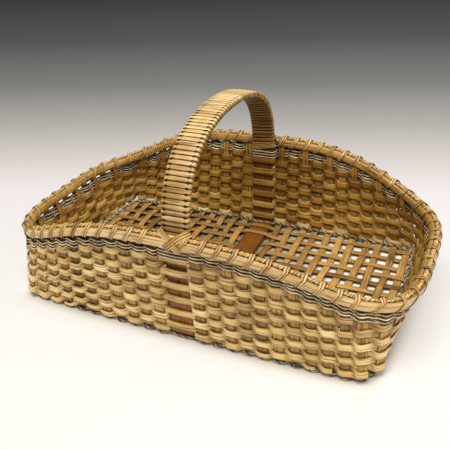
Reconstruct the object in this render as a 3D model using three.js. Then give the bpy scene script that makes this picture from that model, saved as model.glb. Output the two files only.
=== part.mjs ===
import * as THREE from 'three';

// Herb drying basket of woven reed with a fixed wooden hoop handle.
// Millimetres, +Z up, X along the basket, origin under the middle of the base.

// Base and wall lines
const CLEAR = 0.3;                // air between pieces that touch in the real basket
const BASE_HALF_LENGTH = 206;     // wall line at the ends of the base
const BASE_HALF_WIDTH = 130;      // wall line of the long sides at the base corners
const SIDE_BULGE = 4;             // how far the long sides swell at their middle
const BEND = 4;                   // radius where a stake turns up into the wall

// Rim line: a squared oval that humps up beside the handle
const FLARE_ENDS = 24.6;          // how far the rim leans out past the base at the ends
const FLARE_SIDES = 9.2;          // and at the long sides
const RIM_SQUARENESS = 3.94;
const RIM_HEIGHT_ENDS = 75.5;
const RIM_HEIGHT_SIDES = 121.8;
const RIM_HUMP = 1.67;            // how late the hump falls away toward the ends

// Reed strips
const CROSS_PER_HALF = 11;        // cross stakes each side of the handle
const LONG_STAKES = 12;
const STAKE_WIDTH = 8.4;
const STAKE_THICK = 1;
const STAKE_ABOVE_RIM_LINE = -0.5;
const FULL_ROWS = 7;              // rows that go right round
const SHORT_ROWS = 5;             // rows on each long side only, under the full ones
const WEAVER_WIDTH = 5.6;
const WEAVER_THICK = 1.4;

// Twined strands
const TWINE_WIDTH = 2.3;
const TWINE_THICK = 1.2;
const TWINE_TURNS = 3;
const TWINE_PITCH = 3;
const BASE_TWINE_WIDTH = 3;
const EDGE_RAMP = 3;              // run in which a cross stake comes level before the base twine

// Rim bundle and its lashing
const RIM_STRIP_HEIGHT = 9.4;
const RIM_STRIP_THICK = 4.6;
const RIM_SEAT = 0.9;             // air between a stake and each rim strip
const FILLER_DIAMETER = 3.6;
const LASH_SLOT = 2.6;            // free height under the rim where the lashing passes through
const LASH_WIDTH = 3;
const LASH_THICK = 0.8;
const LASH_CLEAR = 1.25;          // a flat lashing bridges the bends of the rim

// Handle hoop and grip wrap
const HOOP_WIDTH = 27;
const HOOP_THICK = 5;
const HOOP_INSIDE = 2;            // how far a leg stands inside the swell of the wall at its foot
const HOOP_LEAN = 4;              // how far the legs lean in from the foot to the rim
const HOOP_SIDE_GAP = 6.5;        // free strip of base each side of the hoop bar
const HOOP_SPRING = 118;          // height where the arch starts
const HOOP_TOP = 215;             // centre line at the crown
const HOOP_ROUNDNESS = 2.24;
const ARCH_STEPS = 30;
const HOOP_BEND = 6;
const WRAP_TURNS = 30;
const WRAP_WIDTH = 7;
const WRAP_THICK = 0.8;
const WRAP_START = 134;           // height where the wrap starts above the rim

// Colours of the reed, wood and cane
const REED = { color: 0xc79a5e, roughness: 0.72, metalness: 0 };
const WEAVER = { color: 0xd2a96c, roughness: 0.7, metalness: 0 };
const WOOD = { color: 0x7a4a26, roughness: 0.6, metalness: 0 };
const CANE = { color: 0xdcb980, roughness: 0.6, metalness: 0 };
const TWINE = { color: 0x4a4034, roughness: 0.8, metalness: 0 };

// Lines, levels and pitches that follow from the sizes above
const RIM_HALF_LENGTH = BASE_HALF_LENGTH + FLARE_ENDS;
const RIM_HALF_WIDTH = BASE_HALF_WIDTH + FLARE_SIDES;
const HOOP_FOOT_SPAN = BASE_HALF_WIDTH + SIDE_BULGE - HOOP_INSIDE;
const HOOP_RIM_SPAN = HOOP_FOOT_SPAN - HOOP_LEAN;
const Z_BASE = HOOP_THICK / 2 + CLEAR + Math.max(STAKE_THICK, TWINE_THICK);
const CROSS_LIFT = STAKE_THICK + CLEAR;
const TWINE_LINE_X = BASE_HALF_LENGTH - BEND - 0.6 - BASE_TWINE_WIDTH / 2;
const TWINE_LINE_Y = BASE_HALF_WIDTH - BEND - 0.6 - BASE_TWINE_WIDTH / 2;
const CROSS_FIRST = HOOP_WIDTH / 2 + HOOP_SIDE_GAP + STAKE_WIDTH / 2;
const CROSS_LAST = TWINE_LINE_X - BASE_TWINE_WIDTH / 2 - 0.6 - STAKE_WIDTH / 2;
const CROSS_PITCH = (CROSS_LAST - CROSS_FIRST) / (CROSS_PER_HALF - 1);
const LONG_LAST = TWINE_LINE_Y - BASE_TWINE_WIDTH / 2 - EDGE_RAMP - STAKE_WIDTH / 2;
const LONG_PITCH = 2 * LONG_LAST / (LONG_STAKES - 1);
const BUNDLE_HALF = (RIM_STRIP_HEIGHT + CLEAR + FILLER_DIAMETER) / 2;
const BAND_TOP = BUNDLE_HALF + LASH_SLOT;
const BAND_HEIGHT = TWINE_TURNS * TWINE_PITCH + TWINE_WIDTH;
const TOP_ROW = BAND_TOP + BAND_HEIGHT + CLEAR + WEAVER_WIDTH / 2;
const LOWEST_ROW = Z_BASE + BEND + WEAVER_WIDTH / 2 + 0.4;
const PITCH_ENDS = (RIM_HEIGHT_ENDS - TOP_ROW - LOWEST_ROW) / (FULL_ROWS - 1);
const ALL_ROWS = FULL_ROWS + SHORT_ROWS;
const PITCH_SIDES = (RIM_HEIGHT_SIDES - TOP_ROW - LOWEST_ROW) / (ALL_ROWS - 1);
const POSITIONS = 4 * CROSS_PER_HALF + 2 * LONG_STAKES + 2;
const BACK_LEG = POSITIONS / 2;
const TIGHT_TURN = Math.cos(0.13);
const SLIGHT_TURN = Math.cos(0.03);
const FLAT_EDGE = STAKE_WIDTH / 2 + 0.9;

const V = (x, y, z) => new THREE.Vector3(x, y, z);
const UP = V(0, 0, 1);
const group = new THREE.Group();
group.name = 'herb_drying_basket';

// Sections of the strips, as shares of half the width and half the thickness
const FLAT = [[1, 1], [-1, 1], [-1, -1], [1, -1]];
const HALF_ROUND = [[1, 1], [-1, 1], [0, -1]];

// One strip through the given points. Each point has the direction its width
// lies in, so rows on a slope keep their pitch; corners are mitred.
function strip(points, sides, width, thick, closed, section = FLAT) {
  const count = points.length;
  const round = section.length;
  const position = [];
  const index = [];
  for (let i = 0; i < count; i += 1) {
    const before = closed ? points[(i + count - 1) % count] : points[Math.max(i - 1, 0)];
    const after = closed ? points[(i + 1) % count] : points[Math.min(i + 1, count - 1)];
    const into = points[i].clone().sub(before);
    const out = after.clone().sub(points[i]);
    if (into.length() === 0) into.copy(out);
    if (out.length() === 0) out.copy(into);
    into.normalize();
    out.normalize();
    const along = into.clone().add(out).normalize();
    const mitre = Math.min(1 / Math.max(along.dot(out), 0.1), 1.5);
    const face = along.clone().cross(sides[i]).normalize().multiplyScalar(mitre * thick / 2);
    const side = sides[i].clone().multiplyScalar(width / 2);
    for (const [a, b] of section) {
      const corner = points[i].clone().addScaledVector(side, a).addScaledVector(face, b);
      position.push(corner.x, corner.y, corner.z);
    }
  }
  const last = closed ? count : count - 1;
  for (let i = 0; i < last; i += 1) {
    const here = round * i;
    const next = round * ((i + 1) % count);
    for (let k = 0; k < round; k += 1) {
      const m = (k + 1) % round;
      index.push(here + k, here + m, next + m);
      index.push(here + k, next + m, next + k);
    }
  }
  if (!closed) {
    const end = round * (count - 1);
    for (let k = 2; k < round; k += 1) {
      index.push(0, k, k - 1);
      index.push(end, end + k - 1, end + k);
    }
  }
  return outward(position, index);
}

// A closed body from corner points and triangles, turned so its faces look out.
function outward(position, index) {
  let volume = 0;
  const a = V(0, 0, 0);
  const b = V(0, 0, 0);
  const c = V(0, 0, 0);
  for (let i = 0; i < index.length; i += 3) {
    a.fromArray(position, 3 * index[i]);
    b.fromArray(position, 3 * index[i + 1]);
    c.fromArray(position, 3 * index[i + 2]);
    volume += a.dot(b.cross(c));
  }
  const faces = [];
  for (let i = 0; i < index.length; i += 3) {
    if (volume > 0) faces.push(index[i], index[i + 1], index[i + 2]);
    else faces.push(index[i], index[i + 2], index[i + 1]);
  }
  const geometry = new THREE.BufferGeometry();
  geometry.setAttribute('position', new THREE.Float32BufferAttribute(position, 3));
  geometry.setIndex(faces);
  return geometry;
}

function addPiece(name, geometry, look) {
  const flat = geometry.toNonIndexed();
  flat.computeVertexNormals();
  const mesh = new THREE.Mesh(flat, new THREE.MeshStandardMaterial(look));
  mesh.name = name;
  group.add(mesh);
}

// Where a long side of the base stands at x
function baseSide(x) {
  const u = x / BASE_HALF_LENGTH;
  return BASE_HALF_WIDTH + SIDE_BULGE * (1 - u * u);
}

// Rim height over a point of the plan
function rimHeight(x) {
  const u = Math.min(Math.abs(x) / RIM_HALF_LENGTH, 1);
  const hump = 0.5 + 0.5 * Math.cos(Math.PI * u ** RIM_HUMP);
  return RIM_HEIGHT_ENDS + (RIM_HEIGHT_SIDES - RIM_HEIGHT_ENDS) * hump;
}

// A quarter of the rim plan, walked from the middle of a long side to the middle of an end
const quarter = [];
for (let i = 0; i <= 400; i += 1) {
  const t = i / 400 * Math.PI / 2;
  const x = RIM_HALF_LENGTH * Math.sin(t) ** (2 / RIM_SQUARENESS);
  const y = RIM_HALF_WIDTH * Math.cos(t) ** (2 / RIM_SQUARENESS);
  const run = i === 0 ? 0 : quarter[i - 1].run + Math.hypot(x - quarter[i - 1].x, y - quarter[i - 1].y);
  quarter.push({ x, y, run });
}

function rimPlan(share) {
  const want = share * quarter[400].run;
  let i = 1;
  while (i < 400 && quarter[i].run < want) i += 1;
  const a = quarter[i - 1];
  const b = quarter[i];
  const k = (want - a.run) / (b.run - a.run);
  return [a.x + k * (b.x - a.x), a.y + k * (b.y - a.y)];
}

// The places round the wall: leg, front right stakes, right end, back, leg, back left, left end, front left
const crossX = [];
for (let i = 0; i < CROSS_PER_HALF; i += 1) crossX.push(CROSS_FIRST + i * CROSS_PITCH);
const longY = [];
for (let i = 0; i < LONG_STAKES; i += 1) longY.push(LONG_LAST - i * LONG_PITCH);

const places = [];
function addPlace(x, y, kind) {
  const onSide = kind !== 'long';
  const quarterRun = BASE_HALF_LENGTH + BASE_HALF_WIDTH;
  const run = onSide ? Math.abs(x) : BASE_HALF_LENGTH + BASE_HALF_WIDTH - Math.abs(y);
  const [rx, ry] = rimPlan(run / quarterRun);
  const tx = Math.sign(x) * rx;
  const ty = Math.sign(y) * ry;
  places.push({ kind, foot: V(x, y, Z_BASE), top: V(tx, ty, rimHeight(tx)) });
}
addPlace(0, -baseSide(0), 'leg');
for (let i = 0; i < CROSS_PER_HALF; i += 1) addPlace(crossX[i], -baseSide(crossX[i]), 'cross');
for (let i = 0; i < LONG_STAKES; i += 1) addPlace(BASE_HALF_LENGTH, -longY[i], 'long');
for (let i = CROSS_PER_HALF - 1; i >= 0; i -= 1) addPlace(crossX[i], baseSide(crossX[i]), 'cross');
addPlace(0, baseSide(0), 'leg');
for (let i = 0; i < CROSS_PER_HALF; i += 1) addPlace(-crossX[i], baseSide(crossX[i]), 'cross');
for (let i = 0; i < LONG_STAKES; i += 1) addPlace(-BASE_HALF_LENGTH, longY[i], 'long');
for (let i = CROSS_PER_HALF - 1; i >= 0; i -= 1) addPlace(-crossX[i], -baseSide(crossX[i]), 'cross');

const place = (p) => places[(p + POSITIONS) % POSITIONS];

// Point of the wall line at a place and height
function wallPoint(p, z) {
  const { foot, top } = place(p);
  return foot.clone().lerp(top, (z - foot.z) / (top.z - foot.z));
}

// Directions of the wall at a place: along the row, up the stake, outward
function wallFrame(p) {
  const level = (q) => place(q).foot.clone().lerp(place(q).top, 0.6).setZ(0);
  const along = level(p + 1).sub(level(p - 1)).normalize();
  const up = place(p).top.clone().sub(place(p).foot).normalize();
  const out = along.clone().cross(up).normalize();
  return { along, up: out.clone().cross(along), out };
}

// Half span of a hoop leg at a height
function legSpan(z) {
  const k = (z - Z_BASE) / (HOOP_SPRING - Z_BASE);
  let span = HOOP_FOOT_SPAN + (HOOP_RIM_SPAN - HOOP_FOOT_SPAN) * k;
  const below = Z_BASE + HOOP_BEND - z;
  if (below > 0) span -= HOOP_BEND - Math.sqrt(Math.max(HOOP_BEND ** 2 - below ** 2, 0));
  return span;
}

// Places where the wall turns at least as much as the given cosine
function isTurn(p, least = TIGHT_TURN) {
  return wallFrame(p - 1).along.dot(wallFrame(p + 1).along) < least;
}

// Places beside a leg or on a corner, where a strip lies flat across the stake
function isTight(p) {
  return isTurn(p) || place(p - 1).kind === 'leg' || place(p + 1).kind === 'leg';
}

// One pass of a strip at a place: the points it goes through, on the given side of the stake
function passAt(p, z, side, thick) {
  const here = place(p);
  const frame = wallFrame(p);
  if (here.kind === 'leg') {
    const sign = Math.sign(here.foot.y);
    const reach = legSpan(z) + side * (HOOP_THICK / 2 + thick / 2 + CLEAR + 0.3);
    const half = -sign * (HOOP_WIDTH / 2 + 0.4);
    return [-half, half].map((x) => ({ at: V(x, sign * reach, z), up: UP.clone() }));
  }
  const centre = wallPoint(p, z);
  const flat = STAKE_THICK / 2 + thick / 2 + CLEAR;
  if (isTight(p)) {
    const half = FLAT_EDGE;
    return [-half, half].map((e) => ({
      at: centre.clone().addScaledVector(frame.along, e).addScaledVector(frame.out, side * (flat + 0.35)),
      up: frame.up,
    }));
  }
  const pitch = here.kind === 'cross' ? CROSS_PITCH : LONG_PITCH;
  const steep = isTight(p - 1) || isTight(p + 1) ? 1.5 : 1.25;
  const lift = steep * flat / (1 - STAKE_WIDTH / pitch);
  return [{ at: centre.addScaledVector(frame.out, side * lift), up: frame.up }];
}

// Height of a weaver row at a place, the top row being row 0
function rowHeight(p, row) {
  const rim = place(p).top.z;
  const hump = (rim - RIM_HEIGHT_ENDS) / (RIM_HEIGHT_SIDES - RIM_HEIGHT_ENDS);
  const pitch = PITCH_ENDS + (PITCH_SIDES - PITCH_ENDS) * hump;
  return rim - TOP_ROW - row * pitch;
}

const rowSide = (p, row) => ((p + row) % 2 === 0 ? 1 : -1);

// Base weave: a two-over two-under twill. True where a cross piece lies over a long stake.
function crossOver(r, c) {
  const phase = (r + c) % 4;
  return phase === 3 || phase === 0;
}

// A stake in the base and both walls. base holds [distance along, height] from one foot to the other.
function stakeStrip(first, last, base, axis, across) {
  const points = [];
  const sides = [];
  const wall = (p, list) => {
    const { along } = wallFrame(p);
    for (const z of list) {
      points.push(wallPoint(p, z));
      sides.push(along.clone().multiplyScalar(Math.sign(along.dot(across))));
    }
  };
  const top = (p) => place(p).top.z + STAKE_ABOVE_RIM_LINE;
  const corner = (p) => {
    const foot = place(p).foot;
    const inward = axis.clone().multiplyScalar(-Math.sign(foot.dot(axis)));
    const k = BEND * (1 - Math.SQRT1_2);
    const { along } = wallFrame(p);
    const turned = along.multiplyScalar(Math.sign(along.dot(across))).add(across);
    points.push(foot.clone().addScaledVector(inward, k).add(V(0, 0, k)));
    sides.push(turned.normalize());
  };
  wall(first, [top(first), Z_BASE + BEND]);
  corner(first);
  for (const [run, z] of base) {
    const foot = place(first).foot;
    const at = axis.clone().multiplyScalar(run).add(foot.clone().projectOnVector(across));
    points.push(at.setZ(z));
    sides.push(across.clone());
  }
  corner(last);
  wall(last, [Z_BASE + BEND, top(last)]);
  return strip(points, sides, STAKE_WIDTH, STAKE_THICK, false);
}

// Cross stakes, numbered from the right end. Front foot first.
const FLOAT_EDGE = STAKE_WIDTH / 2 + 0.4;
for (let c = 1; c <= 2 * CROSS_PER_HALF + 1; c += 1) {
  if (c === CROSS_PER_HALF + 1) continue;
  const right = c <= CROSS_PER_HALF;
  const order = right ? CROSS_PER_HALF - c : c - CROSS_PER_HALF - 2;
  const x = right ? crossX[order] : -crossX[order];
  const first = right ? order + 1 : POSITIONS - 1 - order;
  const last = right ? BACK_LEG - 1 - order : BACK_LEG + 1 + order;
  const base = [[-baseSide(x) + BEND, Z_BASE]];
  const levelLine = TWINE_LINE_Y - BASE_TWINE_WIDTH / 2 - 0.3;
  base.push([-levelLine, Z_BASE]);
  for (let r = LONG_STAKES; r >= 1; r -= 1) {
    const over = crossOver(r, c);
    const y = longY[r - 1];
    const z = Z_BASE + (over ? CROSS_LIFT : -CROSS_LIFT);
    if (r === LONG_STAKES || crossOver(r + 1, c) !== over) base.push([y - FLOAT_EDGE, z]);
    if (r === 1 || crossOver(r - 1, c) !== over) base.push([y + FLOAT_EDGE, z]);
  }
  base.push([levelLine, Z_BASE], [baseSide(x) - BEND, Z_BASE]);
  const number = c < CROSS_PER_HALF + 1 ? c : c - 1;
  const name = `cross_stake_${String(number).padStart(2, '0')}`;
  addPiece(name, stakeStrip(first, last, base, V(0, 1, 0), V(1, 0, 0)), REED);
}

// Long stakes, numbered from the back. They go over and under the hoop bar. Left foot first.
for (let r = 1; r <= LONG_STAKES; r += 1) {
  const y = longY[r - 1];
  const first = BACK_LEG + CROSS_PER_HALF + r;
  const last = CROSS_PER_HALF + LONG_STAKES + 1 - r;
  const under = crossOver(r, CROSS_PER_HALF + 1);
  const z = under ? STAKE_THICK / 2 : 2 * Z_BASE - STAKE_THICK / 2;
  const ramp = CROSS_FIRST - STAKE_WIDTH / 2 - 0.4;
  const flat = HOOP_WIDTH / 2 + 0.6;
  const edge = BASE_HALF_LENGTH - BEND;
  const base = [[-edge, Z_BASE], [-ramp, Z_BASE], [-flat, z], [flat, z], [ramp, Z_BASE], [edge, Z_BASE]];
  const name = `long_stake_${String(r).padStart(2, '0')}`;
  addPiece(name, stakeStrip(first, last, base, V(1, 0, 0), V(0, 1, 0)), REED);
}

// Weaver rows. A full row is a ring; a short row runs out where it meets the base.
function weaverStrip(row, from, to, closed) {
  const points = [];
  const sides = [];
  for (let p = from; p <= to; p += 1) {
    const q = (p + POSITIONS) % POSITIONS;
    for (const pass of passAt(q, rowHeight(q, row), rowSide(q, row), WEAVER_THICK)) {
      points.push(pass.at);
      sides.push(pass.up);
    }
  }
  return strip(points, sides, WEAVER_WIDTH, WEAVER_THICK, closed);
}

for (let row = 0; row < FULL_ROWS; row += 1) {
  addPiece(`weaver_row_${row + 1}`, weaverStrip(row, 0, POSITIONS - 1, true), WEAVER);
}
for (let row = FULL_ROWS; row < ALL_ROWS; row += 1) {
  let reach = 1;
  while (reach < CROSS_PER_HALF && rowHeight(reach + 1, row) >= LOWEST_ROW) reach += 1;
  const number = row - FULL_ROWS + 1;
  addPiece(`short_row_front_${number}`, weaverStrip(row, -reach, reach, false), WEAVER);
  addPiece(`short_row_back_${number}`, weaverStrip(row, BACK_LEG - reach, BACK_LEG + reach, false), WEAVER);
}

// Least distance between parts of a path that are far apart along it
function selfGap(points, skip, width) {
  let least = Infinity;
  for (let i = 0; i < points.length; i += 1) {
    for (let k = i + skip; k < points.length; k += 1) {
      least = Math.min(least, points[i].distanceTo(points[k]));
    }
  }
  return least - width;
}

// Twined band: one strand that winds down the wall under the rim
{
  const points = [];
  const sides = [];
  const total = TWINE_TURNS * POSITIONS;
  for (let step = 0; step < total; step += 1) {
    const p = step % POSITIONS;
    const z = place(p).top.z - BAND_TOP - TWINE_WIDTH / 2 - step / POSITIONS * TWINE_PITCH;
    for (const pass of passAt(p, z, p % 2 === 0 ? -1 : 1, TWINE_THICK)) {
      points.push(pass.at);
      sides.push(pass.up);
    }
  }
  addPiece('twined_band', strip(points, sides, TWINE_WIDTH, TWINE_THICK, false, HALF_ROUND), TWINE);
  const halfTurn = Math.ceil(POSITIONS / 2);
  console.log('twined band gap to itself', selfGap(points, halfTurn, TWINE_WIDTH).toFixed(2), 'mm');
}

// Base twine: one strand round the edge of the base, over and under the stakes
{
  const points = [];
  const sides = [];
  const lift = Z_BASE - 0.57 * TWINE_THICK;
  const flat = STAKE_THICK / 2 + TWINE_THICK / 2 + CLEAR + 0.1;
  for (let p = 0; p < POSITIONS; p += 1) {
    const { kind, foot } = place(p);
    const side = p % 2 === 0 ? -1 : 1;
    const along = kind === 'long' ? V(0, Math.sign(foot.x), 0) : V(-Math.sign(foot.y), 0, 0);
    const out = kind === 'long' ? V(Math.sign(foot.x), 0, 0) : V(0, Math.sign(foot.y), 0);
    const centre = kind === 'long'
      ? V(Math.sign(foot.x) * TWINE_LINE_X, foot.y, Z_BASE)
      : V(foot.x, Math.sign(foot.y) * TWINE_LINE_Y, Z_BASE);
    let passes = [[0, lift]];
    if (kind === 'leg') {
      const half = HOOP_WIDTH / 2 + 0.4;
      const height = side < 0 ? lift : HOOP_THICK / 2 + TWINE_THICK / 2 + CLEAR + 0.8;
      passes = [[-half, height], [half, height]];
    } else if (isTight(p)) {
      const half = FLAT_EDGE;
      passes = [[-half, flat], [half, flat]];
    }
    for (const [e, height] of passes) {
      points.push(centre.clone().addScaledVector(along, e).add(V(0, 0, side * height)));
      sides.push(out);
    }
  }
  addPiece('base_twine', strip(points, sides, BASE_TWINE_WIDTH, TWINE_THICK, true), TWINE);
}

// Stations of the rim line: one over each stake, two where the rim turns
const rimStations = [];
for (let p = 0; p < POSITIONS; p += 1) {
  const frame = wallFrame(p);
  let reach = isTurn(p, SLIGHT_TURN) || p % 2 === 0 ? [0] : [];
  if (isTurn(p)) reach = [-FLAT_EDGE, FLAT_EDGE];
  for (const e of reach) {
    const at = place(p).top.clone().addScaledVector(frame.along, e);
    rimStations.push({ g: p + e / STAKE_WIDTH / 2, at, ...frame });
  }
}

// The rim line between two stations, g counting stakes round the rim
function rimAt(g) {
  const count = rimStations.length;
  const turn = (i) => (i < count ? 0 : POSITIONS);
  let i = 0;
  while (i < count - 1 && rimStations[i + 1].g <= g) i += 1;
  const a = rimStations[i];
  const b = rimStations[(i + 1) % count];
  const k = (g - a.g) / (b.g + turn(i + 1) - a.g);
  const mix = (name) => a[name].clone().lerp(b[name], k);
  return { at: mix('at'), along: b.at.clone().sub(a.at).normalize(), up: mix('up'), out: mix('out') };
}

// Rim strips and filler run round the tops of the stakes
function rimRing(offset, lift, width, thick) {
  const points = rimStations.map(({ at, out, up }) => (
    at.clone().addScaledVector(out, offset).addScaledVector(up, lift)));
  return strip(points, rimStations.map(({ up }) => up), width, thick, true);
}
const RIM_OFFSET = STAKE_THICK / 2 + RIM_SEAT + RIM_STRIP_THICK / 2;
const STRIP_LIFT = -BUNDLE_HALF + RIM_STRIP_HEIGHT / 2;
addPiece('outer_rim', rimRing(RIM_OFFSET, STRIP_LIFT, RIM_STRIP_HEIGHT, RIM_STRIP_THICK), REED);
addPiece('inner_rim', rimRing(-RIM_OFFSET, STRIP_LIFT, RIM_STRIP_HEIGHT, RIM_STRIP_THICK), REED);
const FILLER_LIFT = BUNDLE_HALF - FILLER_DIAMETER / 2 + CLEAR;
addPiece('rim_filler', rimRing(0, FILLER_LIFT, FILLER_DIAMETER, FILLER_DIAMETER), REED);

// Rim lashing: one strand wound round the rim, through the gap beside each stake
{
  const points = [];
  const sides = [];
  const half = RIM_OFFSET + RIM_STRIP_THICK / 2 + LASH_CLEAR + LASH_THICK / 2;
  const high = BUNDLE_HALF + LASH_CLEAR + LASH_THICK / 2;
  const wind = (g, out, up) => {
    const rim = rimAt(g);
    points.push(rim.at.addScaledVector(rim.out, out * half).addScaledVector(rim.up, up * high));
    sides.push(rim.along);
  };
  for (let p = 0; p < POSITIONS - 1; p += 1) {
    wind(p + 0.5, 1, -1);
    wind(p + 0.75, 1, 1);
    wind(p + 0.85, -1, 1);
    wind(p + 1.5, -1, -1);
  }
  addPiece('rim_lashing', strip(points, sides, LASH_WIDTH, LASH_THICK, false, HALF_ROUND), CANE);
  console.log('rim lashing gap to itself', selfGap(points, 3, LASH_WIDTH).toFixed(2), 'mm');
}

// Centre line of the hoop: bar under the base weave, legs and arch
function hoopLine() {
  const line = [];
  const inner = HOOP_FOOT_SPAN - HOOP_BEND;
  for (let i = 0; i <= 4; i += 1) {
    const t = i / 4 * Math.PI / 2;
    line.push(V(0, inner + HOOP_BEND * Math.sin(t), Z_BASE + HOOP_BEND * (1 - Math.cos(t))));
  }
  for (let i = 0; i <= ARCH_STEPS; i += 1) {
    const t = i / ARCH_STEPS * Math.PI;
    const c = Math.cos(t);
    const y = HOOP_RIM_SPAN * Math.sign(c) * Math.abs(c) ** (2 / HOOP_ROUNDNESS);
    const z = HOOP_SPRING + (HOOP_TOP - HOOP_SPRING) * Math.sin(t) ** (2 / HOOP_ROUNDNESS);
    line.push(V(0, y, z));
  }
  for (let i = 4; i >= 0; i -= 1) {
    const t = i / 4 * Math.PI / 2;
    line.push(V(0, -inner - HOOP_BEND * Math.sin(t), Z_BASE + HOOP_BEND * (1 - Math.cos(t))));
  }
  return line;
}
{
  const line = hoopLine();
  addPiece('handle_hoop', strip(line, line.map(() => V(1, 0, 0)), HOOP_WIDTH, HOOP_THICK, true), WOOD);
}

// Grip wrap: one flat cane wound round the arch from rim to rim
{
  const arch = new THREE.CurvePath();
  const line = hoopLine().filter((at) => at.z >= HOOP_SPRING - 1);
  for (let i = 1; i < line.length; i += 1) arch.add(new THREE.LineCurve3(line[i - 1], line[i]));
  let from = 0;
  while (arch.getPointAt(from).z < WRAP_START) from += 0.001;
  const to = 1 - from;
  const half = HOOP_WIDTH / 2 + CLEAR + WRAP_THICK / 2;
  const deep = HOOP_THICK / 2 + CLEAR + 0.3 + WRAP_THICK / 2;
  const points = [];
  const sides = [];
  const steps = 4 * WRAP_TURNS;
  for (let i = 0; i <= steps; i += 1) {
    const quarterTurn = i % 4;
    const k = from + (to - from) * i / steps;
    const at = arch.getPointAt(k);
    const along = arch.getTangentAt(k);
    const out = along.clone().cross(V(1, 0, 0)).normalize();
    const x = quarterTurn === 0 || quarterTurn === 3 ? -half : half;
    const n = quarterTurn < 2 ? deep : -deep;
    points.push(at.addScaledVector(V(1, 0, 0), x).addScaledVector(out, n));
    sides.push(along);
  }
  addPiece('handle_wrap', strip(points, sides, WRAP_WIDTH, WRAP_THICK, false, HALF_ROUND), CANE);
  console.log('grip wrap gap to itself', selfGap(points, 4, WRAP_WIDTH).toFixed(2), 'mm');
}

export default group;
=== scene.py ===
import math
import random
from functools import partial

import bpy
import numpy as np
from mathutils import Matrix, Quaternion, Vector


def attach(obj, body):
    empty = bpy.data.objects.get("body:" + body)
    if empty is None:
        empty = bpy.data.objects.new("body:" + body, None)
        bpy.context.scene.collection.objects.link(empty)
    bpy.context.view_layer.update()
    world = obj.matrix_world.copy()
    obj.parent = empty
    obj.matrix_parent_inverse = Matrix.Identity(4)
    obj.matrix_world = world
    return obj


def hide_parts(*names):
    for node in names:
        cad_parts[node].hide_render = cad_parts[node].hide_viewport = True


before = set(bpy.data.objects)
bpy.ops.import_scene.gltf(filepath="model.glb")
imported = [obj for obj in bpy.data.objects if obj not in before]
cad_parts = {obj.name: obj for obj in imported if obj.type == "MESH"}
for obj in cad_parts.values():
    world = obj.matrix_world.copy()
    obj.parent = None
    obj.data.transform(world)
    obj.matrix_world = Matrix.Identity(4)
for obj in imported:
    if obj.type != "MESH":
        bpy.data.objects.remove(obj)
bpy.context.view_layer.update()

bl_info = {
    "name": "Herb drying basket",
    "version": (1, 0, 0),
    "blender": (4, 5, 0),
    "location": "View3D > Sidebar > Basket",
    "description": "Woven reed basket with a cane-wrapped hoop handle, piece by piece",
    "category": "Object",
}

MM = 0.001

# Lines of the basket, in millimetres, the same as in the solids
BASE_X, BASE_Y, BULGE = 206.0, 130.0, 4.0
RIM_X, RIM_Y, SQUARE, ROUNDER = 230.6, 139.2, 3.94, 3.3
RIM_LOW, RIM_HIGH, HUMP = 75.5, 121.8, 1.67
Z_BASE = 4.0
CROSS_FIRST, CROSS_LAST, CROSSES = 24.2, 193.6, 11
LONG_LAST, LONGS = 115.2, 12
PLACES, BACK_LEG = 70, 35
TOP_ROW, LOWEST_ROW, FULL_ROWS, SHORT_ROWS = 23.6, 9.0, 7, 5
PITCH_LOW = (RIM_LOW - TOP_ROW - LOWEST_ROW) / (FULL_ROWS - 1)
PITCH_HIGH = (RIM_HIGH - TOP_ROW - LOWEST_ROW) / (FULL_ROWS + SHORT_ROWS - 1)
HOOP_FOOT, HOOP_RIM, HOOP_SPRING, HOOP_TOP = 132.0, 128.0, 118.0, 215.0
HOOP_ROUND, HOOP_BEND = 2.24, 6.0
# where this basket, woven by hand, departs from the even form of the solids
SKEW, LEFT_OUT, BACK_IN = 5.0, 8.0, 9.0
# stakes: radius of the turn into the wall, share of the wall and greatest width they take there,
# lift where they cross in the base, and where they pass the bar of the hoop
BEND, WALL_SHARE, WIDEST = 5.0, 0.6, 11.5
CROSS_LIFT, LONG_LIFT = 1.35, 0.25
BAR_EDGE, BAR_CLEAR = 13.0, 0.75
# weavers: lowest edge, distance off the middle of a leg and along from the stake beside it,
# half the run that lies on a stake, how much broader they are between stakes, and their painted shade there
ROW_FLOOR, LEG_CLEAR, BESIDE_LEG = 3.6, 3.6, 8.2
ON_STAKE, ON_TIGHT = 3.8, 4.6
BROADER, BROADER_AT_LEG, CROSSING_SHADE = 1.38, 1.25, -0.28
# twining: turns of the band and their spacing, distance off a leg, where it passes a leg's edge
BAND_TURNS, BAND_TOP, BAND_PITCH = 3, 9.0, 3.65
TWINE_CLEAR, TWINE_EDGE = 3.4, 14.6
# rim: back of a strip off the rim line, and how far the strips lie under it
RIM_OFF, RIM_DROP = 0.8, 1.7
# grip: height at which the wrap begins
WRAP_FOOT = 113.0

# tone of the weavers by height, partly the rows' own tone and partly painted light and shade: some rows
# of the wall are paler, others darker, the low rows paler as painted light from the base, the rows near
# the rim darker as painted shade
TONE_HEIGHTS = (7, 12, 17, 23, 34, 46, 60)
TONE_THERE = (0.3, 0.26, -0.1, 0.26, 0.26, -0.04, -0.16)

CROSS_X = np.linspace(CROSS_FIRST, CROSS_LAST, CROSSES)
LONG_Y = np.linspace(LONG_LAST, -LONG_LAST, LONGS)


def unit(v):
    """Rows of v at length 1."""
    v = np.asarray(v, float)
    return v / np.linalg.norm(v, axis=-1, keepdims=True)


def run_along(points):
    """Length walked along the points, from 0."""
    return np.r_[0, np.cumsum(np.linalg.norm(np.diff(points, axis=0), axis=1))]


def base_side(x):
    return BASE_Y + BULGE * (1 - (x / BASE_X) ** 2)


def rim_height(x):
    u = np.minimum(np.abs(x) / RIM_X, 1)
    return RIM_LOW + (RIM_HIGH - RIM_LOW) * (0.5 + 0.5 * np.cos(np.pi * u**HUMP))


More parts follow.
